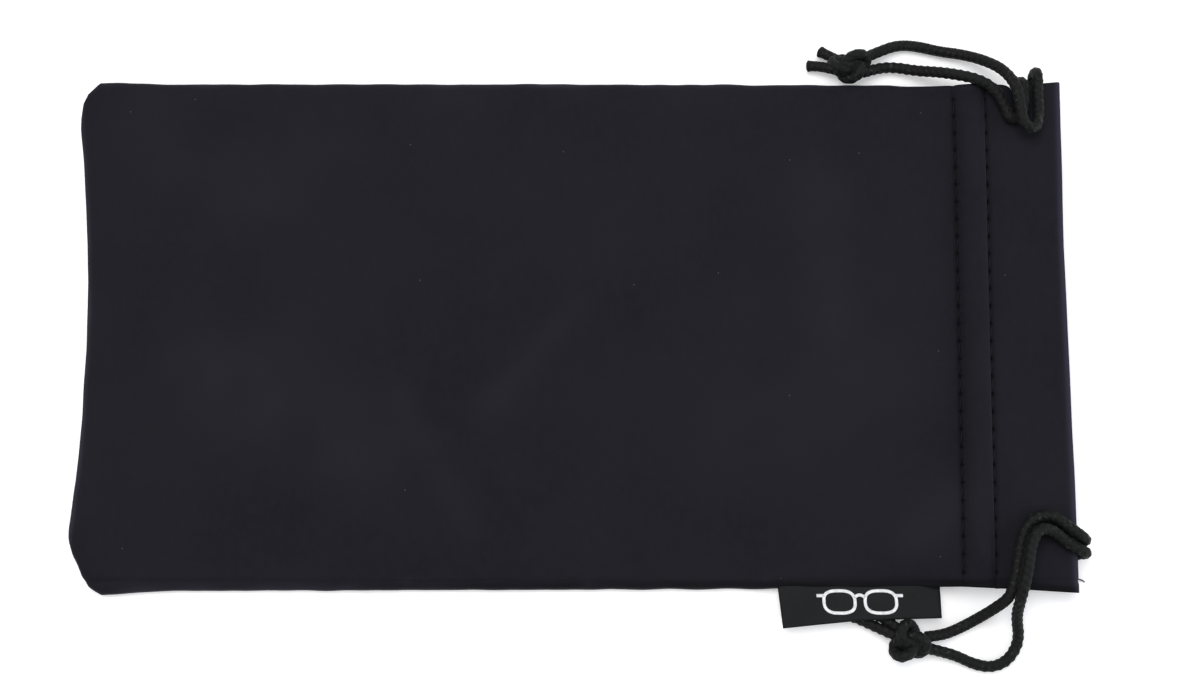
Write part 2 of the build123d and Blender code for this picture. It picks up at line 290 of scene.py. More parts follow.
def make_floor():
    """A plain pale table top."""
    half = 1.5
    mesh = bpy.data.meshes.new("floor")
    corners = [(-half, -half, 0), (half, -half, 0), (half, half, 0), (-half, half, 0)]
    mesh.from_pydata(corners, [], [(0, 1, 2, 3)])
    floor = bpy.data.objects.new("floor", mesh)
    floor.location.z = -0.05 * MM
    bpy.context.scene.collection.objects.link(floor)
    material, shader = new_material("floor_paper", (0.93, 0.93, 0.93), 0.9)
    shader.inputs["Emission Color"].default_value = (1, 1, 1, 1)
    shader.inputs["Emission Strength"].default_value = 0.25
    mesh.materials.append(material)


# ---------------------------------------------------------------- materials


def new_material(name, colour, roughness):
    """A material with one Principled shader, and that shader."""
    material = bpy.data.materials.new(name)
    material.use_nodes = True
    shader = material.node_tree.nodes["Principled BSDF"]
    shader.inputs["Base Color"].default_value = (*colour, 1)
    shader.inputs["Roughness"].default_value = roughness
    return material, shader


class Nodes:
    """Short calls for making and joining shader nodes in one material."""

    def __init__(self, material):
        self.tree = material.node_tree
        self.place = self.tree.nodes.new("ShaderNodeTexCoord").outputs["Object"]

    def link(self, source, target):
        self.tree.links.new(source, target)

    def noise(self, scale, detail=2.0, stretch=(1, 1, 1)):
        """Noise in object space, with this many features to a metre."""
        mapping = self.tree.nodes.new("ShaderNodeMapping")
        mapping.inputs["Scale"].default_value = stretch
        self.link(self.place, mapping.inputs["Vector"])
        texture = self.tree.nodes.new("ShaderNodeTexNoise")
        texture.inputs["Scale"].default_value = scale
        texture.inputs["Detail"].default_value = detail
        self.link(mapping.outputs["Vector"], texture.inputs["Vector"])
        return texture.outputs["Fac"]

    def wave(self, axis, scale, distortion=0.0):
        """Fine ribs across an axis, 0.314 / scale metres apart."""
        texture = self.tree.nodes.new("ShaderNodeTexWave")
        texture.bands_direction = axis
        texture.inputs["Scale"].default_value = scale
        texture.inputs["Distortion"].default_value = distortion
        self.link(self.place, texture.inputs["Vector"])
        return texture.outputs["Fac"]

    def math(self, operation, first, second=0.0):
        """One sum on numbers or sockets."""
        node = self.tree.nodes.new("ShaderNodeMath")
        node.operation = operation
        for value, socket in zip((first, second), node.inputs):
            if hasattr(value, "links"):
                self.link(value, socket)
            else:
                socket.default_value = value
        return node.outputs[0]

    def span(self, value, low, high, to_low, to_high):
        """value from low..high mapped to to_low..to_high, clamped."""
        node = self.tree.nodes.new("ShaderNodeMapRange")
        self.link(value, node.inputs["Value"])
        settings = zip(("From Min", "From Max", "To Min", "To Max"), (low, high, to_low, to_high))
        for name, number in settings:
            node.inputs[name].default_value = number
        return node.outputs["Result"]

    def mix(self, factor, first, second):
        """A colour between two colours or colour sockets."""
        node = self.tree.nodes.new("ShaderNodeMix")
        node.data_type = "RGBA"
        self.link(factor, node.inputs["Factor"])
        for value, colour_input in ((first, node.inputs[6]), (second, node.inputs[7])):
            if hasattr(value, "links"):
                self.link(value, colour_input)
            else:
                colour_input.default_value = (*value, 1)
        return node.outputs[2]  # the colour result

    def bump(self, height, distance, strength, under=None):
        """A surface direction roughened by a height, on top of another roughened one if given."""
        node = self.tree.nodes.new("ShaderNodeBump")
        node.inputs["Distance"].default_value = distance
        node.inputs["Strength"].default_value = strength
        self.link(height, node.inputs["Height"])
        if under:
            self.link(under, node.inputs["Normal"])
        return node.outputs["Normal"]

    def stored(self, name):
        """A number that the mesh holds for each of its points."""
        node = self.tree.nodes.new("ShaderNodeAttribute")
        node.attribute_name = name
        return node.outputs["Fac"]

    def along(self, axis):
        """One coordinate of the place, in metres."""
        node = self.tree.nodes.new("ShaderNodeSeparateXYZ")
        self.link(self.place, node.inputs["Vector"])
        return node.outputs[axis]


def lint(nodes, spacing, size):
    """A factor that is 1 on a few scattered specks of lint and 0 elsewhere."""
    cells = nodes.tree.nodes.new("ShaderNodeTexVoronoi")
    cells.voronoi_dimensions = "2D"
    cells.inputs["Scale"].default_value = 1 / spacing
    nodes.link(nodes.place, cells.inputs["Vector"])
    chosen = nodes.tree.nodes.new("ShaderNodeSeparateColor")
    nodes.link(cells.outputs["Color"], chosen.inputs["Color"])
    near = nodes.math("LESS_THAN", cells.outputs["Distance"], size / spacing)
    one_cell_in_five = nodes.math("GREATER_THAN", chosen.outputs["Red"], 0.80)
    return nodes.math("MULTIPLY", near, one_cell_in_five)


def needle_hole_shade(nodes):
    """A factor for the shade painted into the stitch rows' needle holes: 1 in the holes and 0 elsewhere."""
    x, y = nodes.along("X"), nodes.along("Y")
    wrapped = nodes.math("PINGPONG", nodes.math("ADD", y, STITCH_PITCH / 2 * MM), STITCH_PITCH / 2 * MM)
    total = None
    for row in ROWS:
        across = nodes.math("ABSOLUTE", nodes.math("SUBTRACT", x, row * MM))
        squares = nodes.math("ADD", nodes.math("POWER", across, 2), nodes.math("POWER", wrapped, 2))
        distance = nodes.math("SQRT", squares)
        hole = nodes.span(distance, 0.18 * MM, 0.48 * MM, 0.85, 0)
        total = hole if total is None else nodes.math("MAXIMUM", total, hole)
    return total


def microfibre():
    """Dark napped microfibre: mottled nap, a fine knit under it, sparse lint, painted highlight on the folds, the
    mouth's fold and the seam edges (with a little wear), and painted shade in the needle holes and on the lower
    seam.
    """
    material, shader = new_material("microfibre", (0.0175, 0.0175, 0.0235), 0.86)
    nodes = Nodes(material)
    patches = nodes.noise(55, 5.0)
    nap = nodes.noise(900, 3.0, (1, 0.55, 1))
    # Painted highlight values: lighter on the soft folds' crests and the lower seam's puckers
    fold_and_pucker_highlight = nodes.stored("fold_and_pucker_highlight")
    # The "worn" values: painted highlight along the fold and seam edges (with a little wear) above 0, painted shade
    # on the lower seam below 0
    edge_light_wear_and_shade = nodes.stored("worn")
    mottled = nodes.span(patches, 0.35, 0.68, 0, 1)
    base = nodes.mix(mottled, (0.0081, 0.0078, 0.0115), (0.0107, 0.0103, 0.0141))
    # Painted highlight: the cloth made lighter on its fold crests and seam puckers
    lighter = nodes.mix(nodes.span(fold_and_pucker_highlight, 0, 1, 0, 0.75), base, (0.0160, 0.0153, 0.0203))
    napped = nodes.mix(nodes.span(nap, 0.35, 0.75, 0, 0.5), lighter, (0.0150, 0.0143, 0.0190))
    # Painted highlight: a pale violet rim on the mouth's fold and the seam edges, with a little wear
    worn = nodes.mix(nodes.span(edge_light_wear_and_shade, 0, 1, 0, 1), napped, (0.029, 0.0272, 0.043))
    # Painted shade: the lower seam's strip made near-black, where the slope faces away from the light
    turned = nodes.mix(nodes.span(edge_light_wear_and_shade, -1, 0, 1, 0), worn, (0.0020, 0.0020, 0.0026))
    specks = lint(nodes, 13 * MM, 0.12 * MM)
    # Painted shade: dark dots in the needle holes
    hole_shaded = nodes.mix(needle_hole_shade(nodes), turned, (0.0015, 0.0015, 0.0020))
    nodes.link(nodes.mix(specks, hole_shaded, (0.055, 0.055, 0.060)), shader.inputs["Base Color"])
    nodes.link(nodes.span(nap, 0.25, 0.8, 0.78, 0.95), shader.inputs["Roughness"])
    knit = nodes.math("ADD", nodes.wave("X", 520, 1.5), nodes.wave("Y", 520, 1.5))
    fine = nodes.bump(knit, 0.03 * MM, 0.2)
    nodes.link(nodes.bump(nap, 0.09 * MM, 0.55, fine), shader.inputs["Normal"])
    shader.inputs["Sheen Weight"].default_value = 0.04
    shader.inputs["Sheen Roughness"].default_value = 0.45
    shader.inputs["Sheen Tint"].default_value = (0.72, 0.72, 0.95, 1)
    shader.inputs["Specular IOR Level"].default_value = 0.10
    return material


def cord_fibre():
    """Black braided polyester: soft gloss on its filaments, with a few pale specks of painted glint."""
    material, shader = new_material("cord", (0.0105, 0.0112, 0.0105), 0.55)
    nodes = Nodes(material)
    filaments = nodes.noise(2600, 3.0)
    glint_spots = nodes.noise(1500, 2.0)
    streaky = nodes.span(filaments, 0.3, 0.7, 0, 1)
    black = nodes.mix(streaky, (0.0040, 0.0045, 0.0041), (0.0092, 0.0102, 0.0094))
    # Painted glints: pale specks where light would catch the braid
    glinted = nodes.mix(nodes.span(glint_spots, 0.62, 0.72, 0, 0.8), black, (0.036, 0.040, 0.034))
    nodes.link(glinted, shader.inputs["Base Color"])
    nodes.link(nodes.span(filaments, 0.2, 0.8, 0.45, 0.72), shader.inputs["Roughness"])
    nodes.link(nodes.bump(filaments, 0.06 * MM, 0.6), shader.inputs["Normal"])
    shader.inputs["Sheen Weight"].default_value = 0.02
    shader.inputs["Sheen Roughness"].default_value = 0.35
    shader.inputs["Specular IOR Level"].default_value = 0.12
    return material


def label_tape():
    """Black satin ribbon: fine warp ribs along it and a soft gloss."""
    material, shader = new_material("label_tape", (0.0125, 0.0135, 0.0150), 0.5)
    nodes = Nodes(material)
    cloudy = nodes.noise(160, 3.0)
    shade = nodes.span(cloudy, 0.3, 0.7, 0, 1)
    black = nodes.mix(shade, (0.0046, 0.0052, 0.0056), (0.0072, 0.0080, 0.0085))
    nodes.link(black, shader.inputs["Base Color"])
    ribs = nodes.wave("X", 1150, 0.4)
    weft = nodes.wave("Y", 1500, 0.8)
    nodes.link(nodes.span(weft, 0, 1, 0.42, 0.58), shader.inputs["Roughness"])
    fine = nodes.bump(weft, 0.025 * MM, 0.5)
    nodes.link(nodes.bump(ribs, 0.035 * MM, 0.5, fine), shader.inputs["Normal"])
    shader.inputs["Anisotropic"].default_value = 0.4
    shader.inputs["Specular IOR Level"].default_value = 0.14
    return material


def emblem_print():
    """White transfer print that takes on the weave under it, slightly worn."""
    material, shader = new_material("emblem_print", (0.80, 0.81, 0.83), 0.55)
    nodes = Nodes(material)
    worn = nodes.noise(1300, 3.0)
    white = nodes.mix(nodes.span(worn, 0.35, 0.62, 0, 1), (0.66, 0.67, 0.69), (0.86, 0.87, 0.88))
    nodes.link(white, shader.inputs["Base Color"])
    nodes.link(nodes.span(worn, 0.3, 0.7, 0.62, 0.48), shader.inputs["Roughness"])
    nodes.link(nodes.bump(nodes.wave("Y", 1500, 0.8), 0.02 * MM, 0.4), shader.inputs["Normal"])
    return material


def sewing_thread():
    """Near-black twisted thread."""
    material, shader = new_material("sewing_thread", (0.0065, 0.0065, 0.0085), 0.6)
    nodes = Nodes(material)
    twist = nodes.noise(4200, 2.0)
    shade = nodes.span(twist, 0.3, 0.7, 0, 1)
    dark = nodes.mix(shade, (0.0045, 0.0045, 0.0060), (0.0100, 0.0100, 0.0130))
    nodes.link(dark, shader.inputs["Base Color"])
    nodes.link(nodes.span(twist, 0.2, 0.8, 0.5, 0.7), shader.inputs["Roughness"])
    nodes.link(nodes.bump(twist, 0.05 * MM, 0.6), shader.inputs["Normal"])
    shader.inputs["Specular IOR Level"].default_value = 0.1
    return material


def pale_thread():
    """The cut end of a thread, seen against the light floor."""
    material, shader = new_material("loose_thread", (0.09, 0.09, 0.10), 0.7)
    nodes = Nodes(material)
    twist = nodes.noise(4200, 2.0)
    grey = nodes.mix(nodes.span(twist, 0.3, 0.7, 0, 1), (0.06, 0.06, 0.07), (0.14, 0.14, 0.15))
    nodes.link(grey, shader.inputs["Base Color"])
    nodes.link(nodes.bump(twist, 0.05 * MM, 0.6), shader.inputs["Normal"])
    return material


# ---------------------------------------------------------------- mesh helpers


def new_object(name, vertices, faces, material):
    """A smooth-shaded mesh object from points in millimetres."""
    mesh = bpy.data.meshes.new(name)
    mesh.from_pydata([tuple(v) for v in np.asarray(vertices, float) * MM], [], faces)
    mesh.validate()
    mesh.polygons.foreach_set("use_smooth", [True] * len(mesh.polygons))
    mesh.materials.append(material)
    mesh.update()
    piece = bpy.data.objects.new(name, mesh)
    bpy.context.scene.collection.objects.link(piece)
    return piece


def grid_faces(rows, columns, closed=False, start=0):
    """Quads between rows of points, with each row's ends joined if it is closed."""
    faces = []
    across = columns if closed else columns - 1
    for r in range(rows - 1):
        for c in range(across):
            a = start + r * columns + c
            b = start + r * columns + (c + 1) % columns
            faces.append((a, b, b + columns, a + columns))
    return faces


def solid_sheet(piece, thickness):
    """Gives an open sheet its thickness, half to each side."""
    modifier = piece.modifiers.new("thickness", "SOLIDIFY")
    modifier.thickness = thickness * MM
    modifier.offset = 0
    modifier.use_even_offset = False
    apply_modifiers(piece)


def apply_modifiers(piece):
    """Turns the piece's modifiers into plain mesh."""
    graph = bpy.context.evaluated_depsgraph_get()
    mesh = bpy.data.meshes.new_from_object(piece.evaluated_get(graph))
    piece.modifiers.clear()
    piece.data = mesh


def joined(name, parts, material):
    """One object from several (vertices, faces) parts."""
    vertices, faces = [], []
    for part_vertices, part_faces in parts:
        offset = len(vertices)
        vertices.extend(part_vertices)
        faces.extend([tuple(i + offset for i in face) for face in part_faces])
    return new_object(name, vertices, faces, material)


def smooth(t):
    """0 below 0, 1 above 1, and an S-curve between."""
    t = np.clip(t, 0, 1)
    return t * t * (3 - 2 * t)


def soft_noise(x, y, size, seed):
    """Smooth noise from -1 to 1 with features of about this size."""
    flat = zip(np.ravel(x), np.ravel(y))
    values = [noise.noise(Vector((a / size, b / size, seed))) for a, b in flat]
    return np.array(values).reshape(np.shape(x))


# ---------------------------------------------------------------- cords


def spline_points(route):
    """The route's own NURBS line, as points close together, in millimetres."""
    curve = bpy.data.curves.new("route", "CURVE")
    curve.dimensions = "3D"
    spline = curve.splines.new("NURBS")
    spline.points.add(len(route) - 1)
    for point, place in zip(spline.points, route):
        point.co = (*[value * MM for value in place], 1)
    spline.order_u = 3
    spline.use_endpoint_u = True
    curve.resolution_u = 16
    holder = bpy.data.objects.new("route", curve)
    mesh = bpy.data.meshes.new_from_object(holder)
    points = np.array([tuple(v.co) for v in mesh.vertices]) / MM
    bpy.data.objects.remove(holder)
    bpy.data.curves.remove(curve)
    bpy.data.meshes.remove(mesh)
    return points


def even_points(points, step):
    """The same line with its points evenly spaced, about a step apart, and each one's distance along it."""
    gaps = np.linalg.norm(np.diff(points, axis=0), axis=1)
    reached = np.concatenate([[0], np.cumsum(gaps)])
    count = max(int(reached[-1] / step), 4)
    places = np.linspace(0, reached[-1], count + 1)
    return np.stack([np.interp(places, reached, points[:, k]) for k in range(3)], 1), places


def line_frames(points):
    """Two unit vectors across the line at each point, turning as little as they can."""
    tangents = np.gradient(points, axis=0)
    tangents /= np.linalg.norm(tangents, axis=1)[:, None]
    side = np.cross(tangents[0], (0.0, 0.0, 1.0))
    if np.linalg.norm(side) < 0.1:
        side = np.cross(tangents[0], (0.0, 1.0, 0.0))
    sides = []
    for tangent in tangents:
        side = side - tangent * np.dot(side, tangent)
        side = side / np.linalg.norm(side)
        sides.append(side)
    sides = np.array(sides)
    return sides, np.cross(tangents, sides)


def braid_relief(angle, length):
    """The height of a round braid: two families of strands that pass over and under."""
    right = BRAID_STRANDS * (angle - 2 * math.pi * length / BRAID_PITCH)
    left = BRAID_STRANDS * (angle + 2 * math.pi * length / BRAID_PITCH)
    crossing = np.cos(right / 2) * np.cos(left / 2)
    right_bump = (0.5 + 0.5 * np.cos(right)) ** 0.6 * (0.58 + 0.42 * crossing)
    left_bump = (0.5 + 0.5 * np.cos(left)) ** 0.6 * (0.58 - 0.42 * crossing)
    return np.maximum(right_bump, left_bump)


def tube_end(line, rings, ring, outward, radius, first):
    """Points and faces that round off a tube at its first or last ring; the new points count from first."""
    tangent = line[ring] - line[ring - outward]
    tangent = tangent / np.linalg.norm(tangent)
    inner = line[ring] + tangent * 0.25 * radius + 0.55 * (rings[ring] - line[ring])
    middle = line[ring] + tangent * 0.32 * radius
    segments = len(inner)
    faces = []
    for i in range(segments):
        j = (i + 1) % segments
        a, b = ring * segments + i, ring * segments + j
        quad = (a, b, first + j, first + i)
        tip = (first + i, first + j, first + segments)
        faces.append(quad if outward > 0 else quad[::-1])
        faces.append(tip if outward > 0 else tip[::-1])
    return [*inner, middle], faces


def braided_tube(points, radius=CORD_RADIUS, blunt_end=False, segments=RING_SEGMENTS):
    """Vertices and faces of a braided cord along a line of points."""
    line, lengths = even_points(points, RING_STEP)
    sides, ups = line_frames(line)
    angles = np.arange(segments) * 2 * math.pi / segments
    relief = braid_relief(angles[None, :], lengths[:, None])
    radii = radius * (0.86 + 0.17 * relief)
    wander = np.array([noise.noise(Vector((s / 3.1, radius, points[0][0]))) for s in lengths])
    radii *= (1 + 0.035 * wander)[:, None]
    if blunt_end:
        from_end = lengths[-1] - lengths
        melted = 1 + 0.12 * np.exp(-((from_end / 0.7) ** 2))
        radii *= melted[:, None]
    across = np.cos(angles)[None, :, None] * sides[:, None, :]
    upward = np.sin(angles)[None, :, None] * ups[:, None, :]
    rings = line[:, None, :] + radii[:, :, None] * (across + upward)
    vertices = list(rings.reshape(-1, 3))
    faces = grid_faces(len(line), segments, closed=True)
    for ring, outward in ((0, -1), (len(line) - 1, 1)):
        end_points, end_faces = tube_end(line, rings, ring, outward, radius, len(vertices))
        vertices.extend(end_points)
        faces.extend(end_faces)
    return vertices, faces


def make_strand(side, run, route, material):
    """A free strand that follows its route."""
    points = spline_points(route)
    node = f"{side}_{run}_strand"
    strand = joined("braided_" + node, [braided_tube(points)], material)
    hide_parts(node)
    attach(strand, side + "_cord")


def knot_line(centre, reach, height, turn, lift):
    """One strand's way through a pulled-tight overhand knot: a flat trefoil."""
    t = np.linspace(0, 2 * math.pi, 140)
    x = (np.sin(t) + 2 * np.sin(2 * t)) * reach[0] / 2.6
    y = (np.cos(t) - 2 * np.cos(2 * t)) * reach[1] / 2.6
    z = -np.sin(3 * t) * height + lift
    cosine, sine = math.cos(turn), math.sin(turn)
    turned = np.stack([x * cosine - y * sine, x * sine + y * cosine, z], 1)
    return np.array(centre) + turned


def make_knot(side, centre, reach, turn, material):
    """A double overhand knot: two strands through the same turns, round a core that fills its middle."""
    outer = knot_line(centre, reach, 0.95, turn, 0.25)
    inner = knot_line(centre, (reach[0] * 0.72, reach[1] * 0.72), 0.9, turn + 0.5, -0.55)
    core = [(-2.2, 0.5, -0.4), (-0.8, 0.1, 0.1), (0.8, -0.1, 0.1), (2.2, -0.4, -0.3)]
    core = np.array([centre]) + np.array(core)
    parts = [braided_tube(outer), braided_tube(inner), braided_tube(core, 1.5)]
    knot = joined(side + "_cord_knot", parts, material)
    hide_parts(side + "_knot")
    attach(knot, side + "_cord")
    return knot


def make_tails(side, routes, material):
    """Two short cut ends, their tips melted into small beads."""
    parts = [braided_tube(spline_points(route), 0.95, blunt_end=True) for route in routes]
    tails = joined(side + "_cord_tails", parts, material)
    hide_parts(side + "_tails")
    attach(tails, side + "_cord")
    return tails


def make_drawcords(material):
    """Both sides' knots, tails and strands."""
    upper_knot = make_knot("upper", UPPER_KNOT, (2.95, 2.0), 0.15, material)
    upper_tails = make_tails("upper", UPPER_TAILS, material)
    lower_knot = make_knot("lower", LOWER_KNOT, (2.75, 2.6), 1.2, material)
    lower_tails = make_tails("lower", LOWER_TAILS, material)
    make_strand("upper", "front", UPPER_FRONT_STRAND, material)
    make_strand("upper", "back", UPPER_BACK_STRAND, material)
    make_strand("lower", "front", LOWER_FRONT_STRAND, material)
    make_strand("lower", "back", LOWER_BACK_STRAND, material)


# ---------------------------------------------------------------- cloth surfaces


def sewn(x):
    """1 where the side seams hold the cloths together, fading to 0 before the hem."""
    return 1 - smooth((x - SEWN_END_X) / 6)


def side_edge(x, outline, seed):
    """How far one side's edge is from the middle line, at each x, with the sewn edge's small waves."""
    xs, ys = zip(*outline)
    waves = 0.16 * soft_noise(x, np.zeros_like(x), 5.0, seed) * sewn(x)
    return np.interp(x, xs, ys) + waves


def cord_notch(x):
    """How far the upper cord's second strand pulls the front cloth's edge in."""
    return 2.5 * np.exp(-(((x - 80.3) / 1.7) ** 2))


def cloth_places(x, across, front):
    """Each grid point's x and y, and its distance in from the side edge and from the closed end."""
    x, across = np.meshgrid(x, across, indexing="ij")
    upper = side_edge(x, UPPER_EDGE, 1.0)
    lower = side_edge(x, LOWER_EDGE, 6.0)
    if front:
        upper = upper - cord_notch(x)
    y = np.where(across > 0, across * upper, across * lower)
    hollow = END_HOLLOW * np.clip(1 - ((y - 1) / 37) ** 2, 0, 1)
    mouth_y, short = zip(*MOUTH_LINE)
    x = x + hollow * smooth((-55 - x) / 33)
    x = x - np.interp(y, mouth_y, short) * smooth((x - 76) / 11)
    edge = np.minimum(upper - y, y + lower)
    end = x - (END_X + hollow)
    return x, y, edge, end


def pillow(distance, reach):
    """How much of the full loft a point has, this far in from a sewn edge."""
    return np.sin(np.clip(distance / reach, 0, 1) * math.pi / 2) ** 0.85


def creases(x, y):
    """The height that the soft folds add."""
    height = np.zeros_like(x)
    for (x0, y0), (x1, y1), half_width, rise in CREASES:
        dx, dy = x1 - x0, y1 - y0
        t = np.clip(((x - x0) * dx + (y - y0) * dy) / (dx * dx + dy * dy), 0, 1)
        distance = np.hypot(x - x0 - t * dx, y - y0 - t * dy)
        height += rise * np.exp(-((distance / half_width) ** 2))
    return height


def painted_fold_and_pucker_highlight(x, y):
    """Painted highlight: where the cloth is coloured lighter, on the soft folds' crests and round the lower seam's
    small puckers, with some random tone besides.
    """
    broken = 1 + 0.5 * soft_noise(x, y, 7, 5.0)
    shade = creases(x, y) * 1.6 * broken + 0.25 * soft_noise(x, y, 18, 8.0)
    for place_x, place_y in SEAM_PUCKER_HIGHLIGHTS:
        shade += np.exp(-(((x - place_x) ** 2 + (y - place_y) ** 2) / 0.9**2))
    return np.clip(shade, 0, 1)


def edge_light_wear_and_shade_values(x, y, edge, end):
    """Above 0 for the painted highlight along the mouth's fold and the seams, which also stands for a little wear;
    below 0 for the painted shade on the lower seam's strip.
    """
    mouth = 0.8 * np.clip(1 - (x[-1:] - x) / 0.75, 0, 1)
    streaks = np.clip(0.12 + 0.5 * soft_noise(x, y, 7, 6.0), 0, 0.5)
    streaks += 0.3 * np.exp(-((end / 1.2) ** 2))
    from_seam = np.minimum(edge, end)
    thin_line = streaks * np.exp(-(((from_seam - 0.55) / 0.35) ** 2))
    # Painted shade: the last strip of the lower side edge, darker towards the mouth
    lower_seam = np.where(y < 0, np.exp(-((edge / 1.15) ** 6)), 0)
    return np.maximum(mouth, thin_line) - 0.8 * lower_seam * smooth((x + 70) / 110)


def set_values(piece, name, values):
    """Stores one number for each of the piece's points, for its material to read."""
    attribute = piece.data.attributes.new(name, "FLOAT", "POINT")
    attribute.data.foreach_set("value", np.asarray(values, float).ravel())


def stitch_dents(x, y):
    """The grooves along both stitch rows, deeper at each needle hole."""
    dents = np.zeros_like(x)
    from_stitch = (y / STITCH_PITCH + 0.5) % 1 - 0.5
    hole = np.exp(-(((np.abs(from_stitch) - 0.5) * STITCH_PITCH / 0.4) ** 2))
    for row in ROWS:
        near = np.exp(-(((x - row) / 0.42) ** 2))
        dents += near * (0.36 + 0.26 * hole)
    return dents


def tunnel_puff(x, y):
    """How far the cords in the tunnel push the cloth out between the rows."""
    crest = sum(ROWS) / 2 + 0.35
    half = np.where(x > crest, ROWS[1] - crest, crest - ROWS[0]) - ROW_LEDGE
    t = np.clip(np.abs(x - crest) / half, 0, 1)
    ends = 1 - 0.75 * smooth((np.abs(y) - 38.5) / 5)
    return PUFF * (1 - t**2.6) ** 0.6 * ends * (1 + 0.05 * soft_noise(x, y, 9, 4.0))


def edge_roll(edge, end):
    """How far the cloth drops as it turns over a sewn edge."""
    near = np.minimum(edge, end)
    t = np.clip(1 - near / 1.3, 0, 1)
    return 0.85 * (1 - np.sqrt(1 - t * t))


def seam_ripples(x, y, edge, end):
    """Small ripples that the seam's thread draws in along the edges."""
    near = np.minimum(edge, end)
    ripples = soft_noise(x, y, 5.5, 2.0) * 0.30 + soft_noise(x, y, 14, 7.0) * 0.35
    return ripples * np.exp(-near / 5.5)


def front_height(x, y, edge, end):
    """Middle of the front cloth's thickness over the table."""
    body = EDGE_HEIGHT + LOFT_RISE * pillow(edge, 31) * pillow(end, 40)
    inside = smooth(edge / 14)
    to_mouth = (1 - inside) * smooth((x - 60) / 12) + inside * smooth((x - 44) / 24)
    height = body * (1 - to_mouth) + MOUTH_HEIGHT * to_mouth
    height -= edge_roll(edge, end) * sewn(x)
    groove_y, half_width, depth = LOWER_GROOVE
    height -= depth * np.exp(-(((y - groove_y) / half_width) ** 2))
    outside_hem = 1 - 0.75 * smooth((x - 62) / 8)
    loose = 0.34 * soft_noise(x, y, 30, 0.5) + 0.14 * soft_noise(x, y, 11, 3.0)
    height += outside_hem * (loose + creases(x, y)) * smooth(np.minimum(edge, end) / 6)
    height += outside_hem * seam_ripples(x, y, edge, end)
    height += tunnel_puff(x, y) - stitch_dents(x, y)
    past_rows = smooth((x - ROWS[1] - 1) / 4)
    return height + past_rows * 0.28 * soft_noise(x, y, 12, 9.0)


def back_height(x, y, edge, end):
    """Middle of the back cloth's thickness: flat on the table, turned up at the sewn edges."""
    return BACK_HEIGHT + 0.62 * edge_roll(edge, end) * sewn(x)


def x_stations():
    """Grid lines along the pouch, close together at the closed end, the rows and the mouth."""
    corner = [END_X, -87.96, -87.85, -87.7, -87.5, -87.25, -87.0, -86.7, -86.35]
    spans = [  # from, to, step
        (-86.0, -78.0, 0.4),
        (-78.0, 56.0, 0.9),
        (56.0, HEM_X, 0.6),
        (HEM_X, 76.5, 0.2),
        (76.5, MOUTH_FOLD_X, 0.55),
    ]
    pieces = [np.arange(*span) for span in spans]
    return np.concatenate([corner, *pieces, [MOUTH_FOLD_X]])


def across_stations():
    """Grid lines across the pouch, as shares of its half width, closer at the edges."""
    inner = np.linspace(-0.945, 0.945, 211)
    edge = 1 - np.array([0.0, 0.006, 0.013, 0.02, 0.028, 0.036, 0.045])
    return np.concatenate([-edge, inner, edge[::-1]])


def hem_layer(x, y, edge, end, from_fold, front):
    """The hem's inner layer: under the front cloth's outer layer, or on top of the back cloth's."""
    narrowing = 1 - FACING_NARROWING * smooth(from_fold / 3)
    inner_y = y * narrowing
    inner_edge = edge + np.abs(y - inner_y)
    dents = stitch_dents(x, inner_y)
    puff = tunnel_puff(x, inner_y)
    if front:
        height = front_height(x, inner_y, inner_edge, end) - puff + 1.2 * dents - FACING_DROP
    else:
        height = back_height(x, inner_y, inner_edge, end) + puff - 0.3 * dents + FACING_DROP
    return np.stack([x, inner_y, height], -1)


def mouth_fold(outer_end, inner_end):
    """Three lines that carry the cloth round, from its outer layer's end to its inner layer's."""
    middle = (outer_end + inner_end) / 2
    fold = []
    for angle in np.radians([45, 90, 135]):
        row = middle + (outer_end - middle) * math.cos(angle)
        row[:, 0] = outer_end[:, 0] + 0.38 * math.sin(angle)
        fold.append(row)
    return np.array(fold)


def cloth_sheet(name, front, material):
    """One cloth: its outer layer, the fold at the mouth, and the hem's inner layer."""
    stations = x_stations()
    across = across_stations()
    x, y, edge, end = cloth_places(stations, across, front)
    height = front_height(x, y, edge, end) if front else back_height(x, y, edge, end)
    outer = np.stack([x, y, height], -1)
    hem = stations >= HEM_X
    from_fold = (stations[-1] - stations[hem])[:, None]
    inner = hem_layer(x[hem], y[hem], edge[hem], end[hem], from_fold, front)
    fold = mouth_fold(outer[-1], inner[-1])
    rows = np.concatenate([outer, fold, inner[::-1]])
    faces = grid_faces(len(rows), len(across))
    if not front:
        faces = [face[::-1] for face in faces]
    cloth = new_object(name, rows.reshape(-1, 3), faces, material)
    set_values(cloth, "fold_and_pucker_highlight", painted_fold_and_pucker_highlight(rows[..., 0], rows[..., 1]))
    # Painted highlight on the mouth's fold rows, and no painted light on the hem's inner layer
    mouth_fold_highlight = np.full(fold.shape[:2], 0.9)
    hem_no_painted_light = np.zeros(inner.shape[:2])
    set_values(cloth, "worn", np.concatenate([edge_light_wear_and_shade_values(x, y, edge, end), mouth_fold_highlight, hem_no_painted_light]))
    solid_sheet(cloth, CLOTH)
    return cloth


def follow_both_sides(piece):
    """Blends the piece from the sewn sides to the lifting middle, the same way on both."""
    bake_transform(piece, "pouch", "front_middle", start=(0, BLEND_OUTER_Y * MM, 0), end=(0, BLEND_INNER_Y * MM, 0))
    weights = piece.data.attributes["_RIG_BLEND"].data
    for vertex, weight in zip(piece.data.vertices, weights):
        from_edge = (BLEND_OUTER_Y * MM - abs(vertex.co.y)) / ((BLEND_OUTER_Y - BLEND_INNER_Y) * MM)
        weight.value = float(smooth(from_edge))


